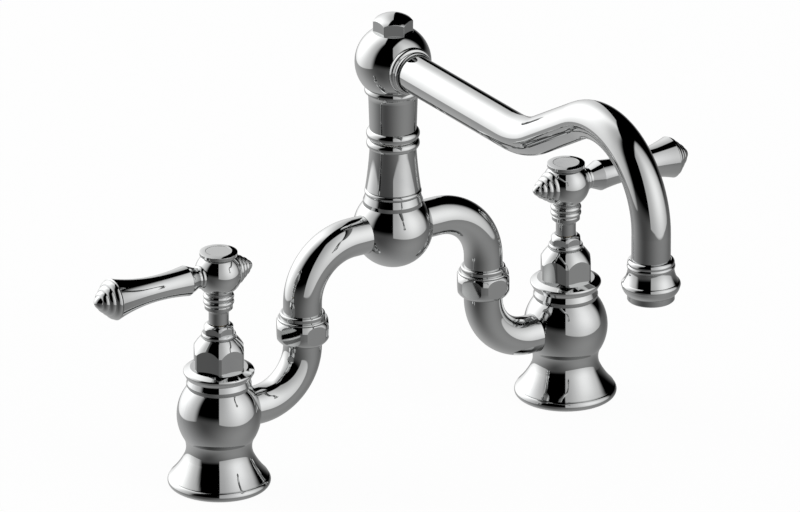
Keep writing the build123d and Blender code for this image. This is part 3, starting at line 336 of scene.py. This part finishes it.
def threaded_shank(name, node, axis_x, material):
    """The shank with its real helical thread, cut into the same outline as the CAD node.

    The rows of the lathed mesh hold height, radius and depth of cut. The thread fades out over
    the first and last rows of each stretch.
    """
    low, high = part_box(node)
    thread_r, plain_r, bore_r, relief_r = 0.010477, 0.010, 0.006, 0.009577
    depth, pitch, lead_in = 0.00105, 0.001814, 0.0008
    around, rows_a_turn, fading_rows, crease_degrees = 48, 8, 6, 50
    nut_foot, deck_foot, plain_top, relief = -0.041, -0.030, 0.001, 0.001
    relief_foot = nut_foot - relief
    rows = []
    for foot, top in ((low[2], relief_foot), (nut_foot, deck_foot), (plain_top, high[2])):
        count = round((top - foot) / pitch * rows_a_turn)
        for step in range(count + 1):
            height = foot + (top - foot) * (step / count)
            run_out = min(1.0, step / fading_rows, (count - step) / fading_rows)
            rows.append((height, thread_r, depth * run_out))
        if foot == low[2]:
            rows += [(relief_foot, relief_r, 0), (nut_foot, relief_r, 0)]
        elif foot == nut_foot:
            rows += [(deck_foot, plain_r, 0), (plain_top, plain_r, 0)]
    rows = [(low[2], bore_r, 0), (low[2], thread_r - lead_in, 0), *rows, (high[2], bore_r, 0)]
    points, faces = [], []
    for height, radius, cut in rows:
        for step in range(around):
            angle = 2 * math.pi * step / around
            r = pipe_thread(radius, height, angle, cut, pitch) if cut else radius
            points.append((axis_x + r * math.cos(angle), r * math.sin(angle), height))
    for row in range(len(rows)):
        here, above = row * around, (row + 1) % len(rows) * around
        for step in range(around):
            beside = (step + 1) % around
            faces.append((here + step, here + beside, above + beside, above + step))
    mesh = bpy.data.meshes.new(name)
    mesh.from_pydata(points, [], faces)
    mesh.shade_smooth()
    mesh.set_sharp_from_angle(angle=math.radians(crease_degrees))
    mesh.materials.append(material)
    piece = bpy.data.objects.new(name, mesh)
    bpy.context.scene.collection.objects.link(piece)
    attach(piece, "faucet_body")
    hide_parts(node)
    piece.visible_glossy = False


thread_brass = machined(
    "thread_brass",
    bright=(0.78, 0.56, 0.24),
    dull=(0.46, 0.31, 0.14),
    gloss=0.24,
    dulling=0.22,
    line_depth=0.000006,
)
VALVE_X = 0.1016
for side, axis_x in (("left", -VALVE_X), ("right", VALVE_X)):
    threaded_shank(f"{side}_threaded_shank", f"{side}_shank", axis_x, thread_brass)

# Mounting washers. Flat punched steel rings, zinc plated and passivated to a cold bluish sheen,
# which spread the nuts' clamping force under the deck.
washer_zinc = machined(
    "washer_zinc",
    bright=(0.60, 0.63, 0.68),
    dull=(0.40, 0.43, 0.47),
    gloss=0.28,
    dulling=0.2,
    line_depth=0.000004,
    line_scale=400,
    patch_scale=260,
)
dress(washer_zinc, "mounting_washers")
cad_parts["mounting_washers"].visible_glossy = False

# Mounting nuts. Hexagon nuts sawn and turned from brass bar, chamfered at both ends, left bare
# with their tool lines. They clamp the faucet to the deck from below.
nut_brass = machined(
    "nut_brass",
    bright=(0.80, 0.60, 0.27),
    dull=(0.55, 0.38, 0.17),
    gloss=0.26,
    dulling=0.18,
    line_depth=0.000008,
    line_scale=900,
)
dress(nut_brass, "mounting_nuts")
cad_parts["mounting_nuts"].visible_glossy = False

# Valve bodies. Cast brass bulbs, turned and buffed before plating, with a tube port on the inner
# side. They stand on the flanges and hold the headworks.
body_chrome = chrome("body_chrome", ripple=0.000006)
dress(body_chrome, *both("valve_body"))

# Seat seals. Small moulded rubber rings that press the fixed discs up and seal their ports.
seal_rubber = moulded(
    "seal_rubber",
    colour=(0.018, 0.018, 0.02),
    dusty=(0.05, 0.05, 0.05),
    roughness=0.42,
    pit_depth=0.00003,
    pit_scale=3600,
    dust=0.2,
)
dress(seal_rubber, "seat_seals")

# Ceramic discs. Two lapped discs of white alumina in each valve: the lower one is fixed, and the
# upper one turns on it with the stem to open the ports. The ware is dense, with a fine grain.


def ceramic(name, white, shade, roughness, grain):
    """Fired alumina: a warm white with a fine grain, lapped smooth but not glassy."""
    grain_depth = 0.00001
    material, nodes, links, shader = new_material(name)
    place = nodes.new("ShaderNodeTexCoord")
    specks = nodes.new("ShaderNodeTexNoise")
    specks.inputs["Scale"].default_value = grain
    specks.inputs["Detail"].default_value = 6.0
    links.new(place.outputs["Object"], specks.inputs["Vector"])
    tint = nodes.new("ShaderNodeMix")
    tint.data_type = "RGBA"
    tint.inputs["A"].default_value = (*white, 1)
    tint.inputs["B"].default_value = (*shade, 1)
    links.new(specks.outputs["Fac"], tint.inputs["Factor"])
    links.new(tint.outputs["Result"], shader.inputs["Base Color"])
    sheen = nodes.new("ShaderNodeMapRange")
    sheen.inputs["To Min"].default_value = roughness
    sheen.inputs["To Max"].default_value = roughness + 0.15
    links.new(specks.outputs["Fac"], sheen.inputs["Value"])
    links.new(sheen.outputs["Result"], shader.inputs["Roughness"])
    bump = nodes.new("ShaderNodeBump")
    bump.inputs["Strength"].default_value = 0.3
    bump.inputs["Distance"].default_value = grain_depth
    links.new(specks.outputs["Fac"], bump.inputs["Height"])
    links.new(bump.outputs["Normal"], shader.inputs["Normal"])
    return material


fixed_ceramic = ceramic(
    "fixed_ceramic",
    white=(0.86, 0.85, 0.81),
    shade=(0.76, 0.75, 0.71),
    roughness=0.22,
    grain=2200,
)
dress(fixed_ceramic, "fixed_discs")
moving_ceramic = ceramic(
    "moving_ceramic",
    white=(0.88, 0.87, 0.85),
    shade=(0.80, 0.79, 0.76),
    roughness=0.16,
    grain=2600,
)
dress(moving_ceramic, *both("moving_disc"))

# Cartridges. Brass headworks turned from bar: a threaded barrel that screws into the body, and
# the stem that turns in it and drives the upper disc.
barrel_brass = machined(
    "barrel_brass",
    bright=(0.79, 0.59, 0.27),
    dull=(0.60, 0.43, 0.20),
    gloss=0.20,
    dulling=0.14,
    line_depth=0.000007,
    line_scale=1200,
)
dress(barrel_brass, *both("cartridge_body"))
stem_brass = machined(
    "stem_brass",
    bright=(0.82, 0.63, 0.31),
    dull=(0.66, 0.48, 0.23),
    gloss=0.14,
    dulling=0.10,
    line_depth=0.000003,
    line_scale=2200,
)
dress(stem_brass, *both("stem"))

# O-rings. Thin moulded rubber rings, greased at fitting, so they shine more than the gaskets:
# one seals each barrel in its body, and one each stem in its barrel.
greased_rubber = moulded(
    "greased_rubber",
    colour=(0.015, 0.015, 0.016),
    dusty=(0.04, 0.04, 0.038),
    roughness=0.22,
    pit_depth=0.00002,
    pit_scale=4200,
    dust=0.25,
)
dress(greased_rubber, "barrel_o_rings", *both("stem_o_ring"))

# Bonnet collars. Turned brass saucers, chrome plated, clamped between the bodies and the
# bonnets. Their rolled rims are buffed round.
collar_chrome = chrome("collar_chrome", gloss=0.028)
dress(collar_chrome, "bonnet_collars")

# Bonnets. Hexagonal cover nuts with a domed shoulder, milled from bar and plated. Buffing on a
# hard wheel keeps the flats flat and takes only the keenness off their corners.
bonnet_chrome = chrome("bonnet_chrome", gloss=0.03, haze=0.03, ripple=0.000003, line_share=0.2)
dress(bonnet_chrome, *both("bonnet"))

# Gland packings. White acetal rings, turned, pressed round the stems by the gland nuts.
gland_acetal = moulded(
    "gland_acetal",
    colour=(0.80, 0.80, 0.77),
    dusty=(0.66, 0.65, 0.62),
    roughness=0.38,
    pit_depth=0.00002,
    pit_scale=2400,
    dust=0.3,
)
dress(gland_acetal, "gland_packings")

# Gland nuts. Small plated nuts with a round collar and a domed top, which hold the bonnets down.
gland_chrome = chrome("gland_chrome", gloss=0.032, haze=0.03, ripple=0.000003, line_share=0.2)
dress(gland_chrome, "gland_nuts")

# Handle hubs. Turned brass balls on a stack of rings, bored for the stem and cross-bored for the
# lever and the finial, then buffed and plated. Grooves between the rings are buffed less.
handle_chrome = chrome("handle_chrome", gloss=0.03, haze=0.025, edge=0.0002)
dress(handle_chrome, *both("handle_hub"))

# Levers and rear finials. Turned brass arms with a waist and a beehive end, screwed into the
# hubs from both sides. Their grooves are cut with a form tool and plated over.
lever_chrome = chrome(
    "lever_chrome", gloss=0.03, haze=0.03, ripple=0.000005, edge=0.0002, line_share=0.15
)
dress(lever_chrome, *both("lever", "rear_finial"))

# Handle screws. Zinc plated steel screws under the caps, which pull the hubs down on the stems.
screw_zinc = machined(
    "screw_zinc",
    bright=(0.58, 0.61, 0.66),
    dull=(0.38, 0.41, 0.45),
    gloss=0.24,
    dulling=0.2,
    line_depth=0.000005,
    line_scale=1800,
    patch_scale=300,
)
dress(screw_zinc, *both("handle_screw"))

# Index caps. Turned and plated caps screwed into the hubs. Their rims are buffed on a soft wheel
# that rolls the corner over.
cap_chrome = chrome("cap_chrome", gloss=0.026, ripple=0.000003, edge=0.00035)
dress(cap_chrome, *both("index_cap"))

# Index buttons. Plain plated discs pressed into the caps' wells. They carry no mark.
button_chrome = chrome("button_chrome", gloss=0.045, haze=0.05, ripple=0.000005, line_share=0.3)
dress(button_chrome, *both("index_button"))

# Lower elbows. Brass tube bent to a quarter turn and plated, brazed into the bodies' ports. The
# bend leaves the tube very slightly wavy.
elbow_chrome = chrome("elbow_chrome", ripple=0.000012, line_share=0.04)
dress(elbow_chrome, *both("lower_elbow"))

# Union gaskets. Moulded rubber rings between the two halves of each union.
union_rubber = moulded(
    "union_rubber",
    colour=(0.02, 0.02, 0.021),
    dusty=(0.06, 0.06, 0.058),
    roughness=0.5,
    pit_depth=0.00004,
    pit_scale=2800,
    dust=0.3,
)
dress(union_rubber, "union_gaskets")

# Union nuts. Hexagonal nuts with a rolled rim, milled, hard-buffed and plated, which pull the
# upper elbows down on the lower ones.
union_chrome = chrome("union_chrome", gloss=0.03, haze=0.03, ripple=0.000003, line_share=0.2)
dress(union_chrome, "union_nuts")

# Upper elbows. Brass tube, bent and flanged under the nuts, plated, brazed into the hub.
upper_chrome = chrome("upper_chrome", ripple=0.000012, line_share=0.04)
dress(upper_chrome, *both("upper_elbow"))

# Bridge hub. A cast brass ball with two side sockets and a band on top, turned, buffed, plated.
hub_chrome = chrome("hub_chrome", ripple=0.000006)
dress(hub_chrome, "bridge_hub")

# Column base. A tapered brass turning with a bead at each end, plated, held on the hub by the
# spigot inside it.
column_chrome = chrome("column_chrome", gloss=0.028, line_share=0.15)
dress(column_chrome, "column_base")

# Swivel. A turned brass post carries the turning column on two greased rings and a plastic slip
# ring. A steel washer and a brass nut at its top keep the column down.
spigot_brass = machined(
    "spigot_brass",
    bright=(0.81, 0.61, 0.29),
    dull=(0.62, 0.45, 0.21),
    gloss=0.16,
    dulling=0.12,
    line_depth=0.000004,
    line_scale=2000,
)
dress(spigot_brass, "swivel_spigot")
dress(greased_rubber, "swivel_o_rings")
slip_acetal = moulded(
    "slip_acetal",
    colour=(0.78, 0.78, 0.75),
    dusty=(0.64, 0.63, 0.60),
    roughness=0.34,
    pit_depth=0.00002,
    pit_scale=2600,
    dust=0.25,
)
dress(slip_acetal, "swivel_washer")
retainer_zinc = machined(
    "retainer_zinc",
    bright=(0.60, 0.63, 0.68),
    dull=(0.42, 0.45, 0.49),
    gloss=0.26,
    dulling=0.18,
    line_depth=0.000004,
    line_scale=700,
    patch_scale=260,
)
dress(retainer_zinc, "retaining_washer")
retainer_brass = machined(
    "retainer_brass",
    bright=(0.80, 0.60, 0.27),
    dull=(0.58, 0.41, 0.19),
    gloss=0.24,
    dulling=0.16,
    line_depth=0.000007,
    line_scale=1000,
)
dress(retainer_brass, "retaining_nut")

# Spout column. A turned and plated brass sleeve, beaded at its foot and flared to a rolled
# collar under the ball. It turns with the spout.
sleeve_chrome = chrome("sleeve_chrome", gloss=0.028, line_share=0.15)
dress(sleeve_chrome, "spout_column")

# Spout head. A hollow brass ball, plated, open on top for the swivel's nut.
head_chrome = chrome("head_chrome", ripple=0.000006)
dress(head_chrome, "spout_head")

# Hexagonal cap. A domed plug with a milled hexagon, plated, screwed into the ball.
top_chrome = chrome("top_chrome", haze=0.03, ripple=0.000003, edge=0.0004, line_share=0.2)
dress(top_chrome, "hex_cap")

# Spout collar. Two turned beads, plated, soldered round the tube where it enters the ball.
bead_chrome = chrome("bead_chrome", gloss=0.028, edge=0.0002)
dress(bead_chrome, "spout_collar")

# Spout. One length of drawn brass tube, bent to a level arm, a rise and a swan neck, then
# polished along its length and plated. The bends leave a slow waviness in the mirror.
spout_chrome = chrome("spout_chrome", gloss=0.03, haze=0.02, ripple=0.000014, line_share=0.03)
dress(spout_chrome, "spout_tube")

# Aerator bell. A turned and plated brass bell, soldered on the spout's end.
bell_chrome = chrome("bell_chrome", gloss=0.028, line_share=0.12)
dress(bell_chrome, "aerator_bell")

# Aerator. A plated ring screwed into the bell holds a grey plastic flow straightener against a
# rubber washer. The ring is handled at cleaning, so its shine is a little softer.
outlet_chrome = chrome("outlet_chrome", gloss=0.045, haze=0.05, edge=0.0003, line_share=0.25)
dress(outlet_chrome, "aerator_sleeve")
insert_acetal = moulded(
    "insert_acetal",
    colour=(0.42, 0.43, 0.44),
    dusty=(0.56, 0.56, 0.55),
    roughness=0.42,
    pit_depth=0.00003,
    pit_scale=2400,
    dust=0.5,
)
dress(insert_acetal, "aerator_insert")
dress(greased_rubber, "aerator_washer")

# Studio. A pale deck-high floor, a white surround, and round it a dome of painted reflections that
# only polished metal sees: two tall softboxes at the left back and right front, painted black
# between them, a painted grey floor below with painted pools of softbox light. The dome lights
# nothing.
CAMERA_AZIMUTH = -33.27
CAMERA_ELEVATION = 23.03
CAMERA_DISTANCE = 11.67
CAMERA_LENS = 1080
CAMERA_TARGET = (-0.0353, -0.060, 0.1263)
azimuth, elevation = math.radians(CAMERA_AZIMUTH), math.radians(CAMERA_ELEVATION)
back = (
    math.sin(azimuth) * math.cos(elevation),
    -math.cos(azimuth) * math.cos(elevation),
    math.sin(elevation),
)
camera_data = bpy.data.cameras.new("camera")
camera_data.lens = CAMERA_LENS
camera_data.clip_end = 100
camera = bpy.data.objects.new("camera", camera_data)
camera.location = [t + CAMERA_DISTANCE * b for t, b in zip(CAMERA_TARGET, back)]
camera.rotation_euler = (math.radians(90 - CAMERA_ELEVATION), 0, azimuth)
bpy.context.scene.collection.objects.link(camera)
bpy.context.scene.camera = camera
bpy.context.scene.view_settings.view_transform = "Standard"


def rays_that_see(nodes, links):
    """1 for the rays that look: those of the eye, those off a mirror and those through glass."""
    ray = nodes.new("ShaderNodeLightPath")
    seen = ray.outputs["Is Camera Ray"]
    for kind in ("Is Glossy Ray", "Is Transmission Ray"):
        either = nodes.new("ShaderNodeMath")
        either.use_clamp = True
        links.new(seen, either.inputs[0])
        links.new(ray.outputs[kind], either.inputs[1])
        seen = either.outputs["Value"]
    return seen


LIGHT_GIVEN, LIGHT_SEEN = 0.6, 1.0
world = bpy.data.worlds.new("surround")
bpy.context.scene.world = world
world.use_nodes = True
nodes, links = world.node_tree.nodes, world.node_tree.links
strength = nodes.new("ShaderNodeMapRange")
strength.inputs["To Min"].default_value = LIGHT_GIVEN
strength.inputs["To Max"].default_value = LIGHT_SEEN
links.new(rays_that_see(nodes, links), strength.inputs["Value"])
links.new(strength.outputs["Result"], nodes["Background"].inputs["Strength"])
nodes["Background"].inputs["Color"].default_value = (1, 1, 1, 1)

FLOOR_HALF, FLOOR_GREY, FLOOR_WHITE_SHARE = 6.0, 0.92, 0.95
mesh = bpy.data.meshes.new("floor")
corners = [(x * FLOOR_HALF, y * FLOOR_HALF, 0) for x, y in ((-1, -1), (1, -1), (1, 1), (-1, 1))]
mesh.from_pydata(corners, [], [(0, 1, 2, 3)])
floor = bpy.data.objects.new("floor", mesh)
bpy.context.scene.collection.objects.link(floor)
material, nodes, links = empty_material("pale_floor")
share = nodes.new("ShaderNodeMath")
share.operation = "MULTIPLY"
share.inputs[1].default_value = FLOOR_WHITE_SHARE
links.new(rays_that_see(nodes, links), share.inputs[0])
matt = nodes.new("ShaderNodeBsdfDiffuse")
matt.inputs["Color"].default_value = (FLOOR_GREY, FLOOR_GREY, FLOOR_GREY, 1)
white = nodes.new("ShaderNodeEmission")
white.inputs["Color"].default_value = (1, 1, 1, 1)
white.inputs["Strength"].default_value = 1.0
mix = nodes.new("ShaderNodeMixShader")
links.new(share.outputs["Value"], mix.inputs["Fac"])
links.new(matt.outputs["BSDF"], mix.inputs[1])
links.new(white.outputs["Emission"], mix.inputs[2])
output = nodes.new("ShaderNodeOutputMaterial")
links.new(mix.outputs["Shader"], output.inputs["Surface"])
mesh.materials.append(material)
floor.visible_glossy = False

DOME_RADIUS, DOME_HEIGHT = 8.0, 0.1
# The dome glows with painted reflections only: it is hidden from the camera, from diffuse light
# and from shadows.
bpy.ops.mesh.primitive_uv_sphere_add(
    segments=48, ring_count=24, radius=DOME_RADIUS, location=(0, 0, DOME_HEIGHT)
)
dome = bpy.context.object
dome.name = "painted_reflection_dome"
dome.visible_camera = False
dome.visible_diffuse = False
dome.visible_transmission = False
dome.visible_shadow = False
dome.visible_volume_scatter = False
material, nodes, links = empty_material("painted_reflection_dome")


def value_of(operation, *inputs):
    """One step of arithmetic on numbers or sockets."""
    step = nodes.new("ShaderNodeMath")
    step.operation = operation
    for place, given in zip(step.inputs, inputs):
        if isinstance(given, (int, float)):
            place.default_value = given
        else:
            links.new(given, place)
    return step.outputs["Value"]


def soft_step(value, low, high):
    """Runs smoothly from 0 at low to 1 at high."""
    step = nodes.new("ShaderNodeMapRange")
    step.interpolation_type = "SMOOTHSTEP"
    links.new(value, step.inputs["Value"])
    step.inputs["From Min"].default_value = low
    step.inputs["From Max"].default_value = high
    return step.outputs["Result"]


def dot_with(x, y, z):
    """How far the direction of sight points along (x, y, z)."""
    step = nodes.new("ShaderNodeVectorMath")
    step.operation = "DOT_PRODUCT"
    links.new(direction.outputs["Vector"], step.inputs[0])
    step.inputs[1].default_value = (x, y, z)
    return step.outputs["Value"]


place = nodes.new("ShaderNodeTexCoord")
direction = nodes.new("ShaderNodeVectorMath")
direction.operation = "NORMALIZE"
links.new(place.outputs["Object"], direction.inputs[0])
parts = nodes.new("ShaderNodeSeparateXYZ")
links.new(direction.outputs["Vector"], parts.inputs["Vector"])
up = parts.outputs["Z"]


def painted_softbox(facing_degrees, left, right, foot, head, peak, rim, spot, left_soft, right_soft):
    """A softbox's painted reflection, which lights nothing: a flat panel seen along its own
    direction, with a painted highlight round a spot, dimmer towards its rim.

    Its edges are given as tangents of the angle off that direction, and its spot as two angles.
    """
    foot_soft, head_soft, facing_soft, least_depth = 0.06, 0.8, 0.05, 0.001
    narrowing_across, narrowing_upward = 2.3, 1.5
    a = math.radians(facing_degrees)
    ahead = dot_with(math.sin(a), -math.cos(a), 0)
    depth = value_of("MAXIMUM", ahead, least_depth)
    u = value_of("DIVIDE", dot_with(math.cos(a), math.sin(a), 0), depth)
    v = value_of("DIVIDE", up, depth)
    sides = value_of(
        "MULTIPLY",
        soft_step(u, left - left_soft / 2, left + left_soft / 2),
        soft_step(value_of("MULTIPLY", u, -1), -right - right_soft / 2, -right + right_soft / 2),
    )
    ends = value_of(
        "MULTIPLY",
        soft_step(v, foot - foot_soft / 2, foot + foot_soft / 2),
        soft_step(value_of("MULTIPLY", v, -1), -head - head_soft / 2, -head + head_soft / 2),
    )
    across = value_of("SUBTRACT", value_of("ARCTANGENT", u), spot[0])
    upward = value_of("SUBTRACT", value_of("ARCTANGENT", v), spot[1])
    off_spot = value_of(
        "MULTIPLY_ADD",
        value_of("MULTIPLY", across, across),
        narrowing_across,
        value_of("MULTIPLY", value_of("MULTIPLY", upward, upward), narrowing_upward),
    )
    shine = value_of("EXPONENT", value_of("MULTIPLY", off_spot, -1))
    glow = value_of("MULTIPLY_ADD", shine, peak - rim, rim)
    facing = soft_step(ahead, 0.0, facing_soft)
    front = value_of("MULTIPLY", facing, value_of("MULTIPLY", sides, ends))
    return value_of("MULTIPLY", front, glow)


def painted_ground_light(facing_degrees, down_degrees, strength):
    """A painted pool of softbox light on the ground that mirrors see, brightest in one direction
    below the horizon.
    """
    a, e = math.radians(facing_degrees), math.radians(-down_degrees)
    towards = dot_with(math.sin(a) * math.cos(e), -math.cos(a) * math.cos(e), math.sin(e))
    near = value_of("MAXIMUM", towards, 0)
    return value_of("MULTIPLY", value_of("MULTIPLY", near, near), strength)


# Painted reflections of the two softboxes; the lamps that really light the scene are hidden from
# mirrors.
painted_left_box = painted_softbox(
    facing_degrees=-152.8,
    left=-1.92,
    right=1.47,
    foot=-0.32,
    head=4.2,
    peak=2.4,
    rim=0.58,
    spot=(-0.17, 0.42),
    left_soft=0.06,
    right_soft=1.0,
)
painted_right_box = painted_softbox(
    facing_degrees=22.9,
    left=-1.48,
    right=1.38,
    foot=-0.32,
    head=3.3,
    peak=1.45,
    rim=0.58,
    spot=(0.12, 0.38),
    left_soft=0.12,
    right_soft=0.9,
)
# Painted ground: a grey floor below the horizon with painted pools of softbox light, seen only in
# mirrors.
PAINTED_GROUND_GREY = 0.09
painted_spill = value_of(
    "ADD",
    painted_ground_light(facing_degrees=-172.6, down_degrees=38, strength=0.51),
    painted_ground_light(facing_degrees=31.1, down_degrees=43, strength=0.32),
)
below = soft_step(value_of("MULTIPLY", up, -1), low=-0.14, high=0.15)
painted_ground = value_of("MULTIPLY", below, value_of("ADD", painted_spill, PAINTED_GROUND_GREY))
# All the dome's glow is painted reflection: softboxes, painted black between them, and the painted
# ground.
total = value_of("MAXIMUM", value_of("MAXIMUM", painted_left_box, painted_right_box), painted_ground)
glow = nodes.new("ShaderNodeEmission")
glow.inputs["Color"].default_value = (1, 1, 1, 1)
links.new(total, glow.inputs["Strength"])
output = nodes.new("ShaderNodeOutputMaterial")
links.new(glow.outputs["Emission"], output.inputs["Surface"])
dome.data.materials.append(material)

LAMPS_AIM_AT = Vector((0, 0, 0.1))
for name, place_at, size, energy in (
    ("left_lamp", (-1.2, 1.6, 1.6), 1.6, 18),
    ("right_lamp", (1.0, -1.8, 1.5), 1.4, 14),
):
    lamp_data = bpy.data.lights.new(name, "AREA")
    lamp_data.energy = energy
    lamp_data.size = size
    lamp = bpy.data.objects.new(name, lamp_data)
    lamp.location = place_at
    lamp.rotation_mode = "QUATERNION"
    lamp.rotation_quaternion = (Vector(place_at) - LAMPS_AIM_AT).to_track_quat("Z", "Y")
    lamp.visible_glossy = False
    bpy.context.scene.collection.objects.link(lamp)
